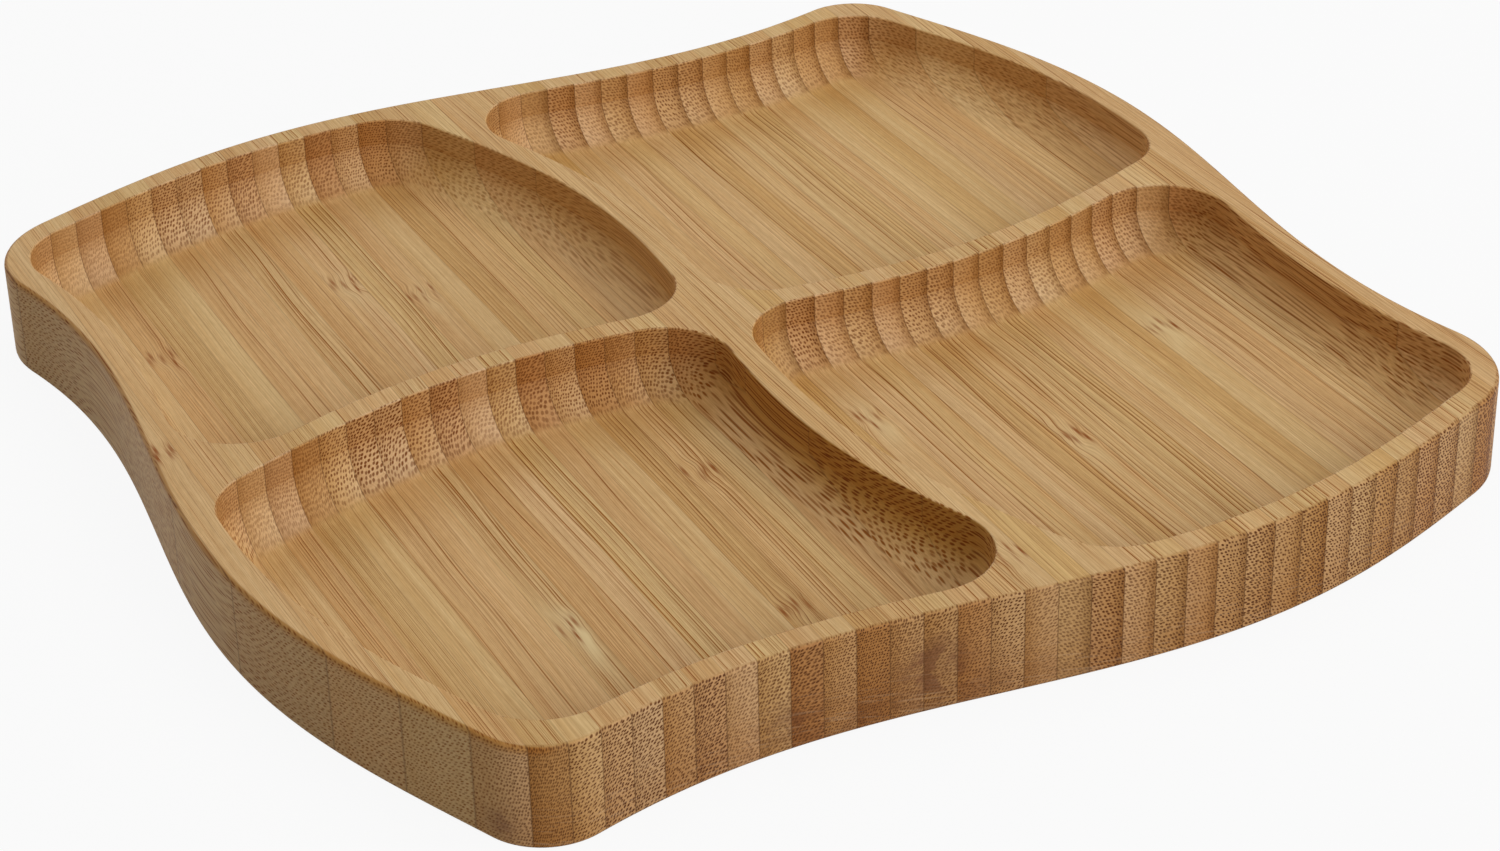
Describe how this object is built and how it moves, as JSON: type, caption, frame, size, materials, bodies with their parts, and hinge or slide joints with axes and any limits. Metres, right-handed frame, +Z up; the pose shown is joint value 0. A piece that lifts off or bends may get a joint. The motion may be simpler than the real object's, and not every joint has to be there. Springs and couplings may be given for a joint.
{
  "type": "divided compartment plate",
  "caption": "Wavy square serving plate of edge-glued bamboo strips, with scooped compartments between curved dividers for serving food in separate portions.",
  "frame": {"origin": "centre of the bounding box, on the underside that the plate rests on", "axes": "+Z up, out of the compartments; +Y along the bamboo strips; +X across the strips"},
  "size_m": [0.2368, 0.2394, 0.02],
  "materials": {
    "bamboo_light": "satin, lightly oiled, pale bamboo",
    "bamboo_honey": "satin, lightly oiled, honey bamboo",
    "bamboo_caramel": "satin, lightly oiled, caramel bamboo"
  },
  "bodies": {
    "root": {"strip_01": "bamboo_light", "strip_02": "bamboo_honey", "strip_03": "bamboo_light", "strip_04": "bamboo_caramel", "strip_05": "bamboo_honey", "strip_06": "bamboo_light", "strip_07": "bamboo_honey", "strip_08": "bamboo_honey", "strip_09": "bamboo_light", "strip_10": "bamboo_caramel", "strip_11": "bamboo_light", "strip_12": "bamboo_light", "strip_13": "bamboo_honey", "strip_14": "bamboo_light", "strip_15": "bamboo_caramel", "strip_16": "bamboo_honey", "strip_17": "bamboo_light", "strip_18": "bamboo_honey", "strip_19": "bamboo_honey", "strip_20": "bamboo_light", "strip_21": "bamboo_caramel", "strip_22": "bamboo_light", "strip_23": "bamboo_light", "strip_24": "bamboo_honey", "strip_25": "bamboo_light", "strip_26": "bamboo_caramel", "strip_27": "bamboo_honey", "strip_28": "bamboo_light", "strip_29": "bamboo_honey", "strip_30": "bamboo_honey", "strip_31": "bamboo_light", "strip_32": "bamboo_caramel", "strip_33": "bamboo_light", "strip_34": "bamboo_light", "strip_35": "bamboo_honey", "strip_36": "bamboo_light", "strip_37": "bamboo_caramel", "strip_38": "bamboo_honey"}
  },
  "joints": []
}
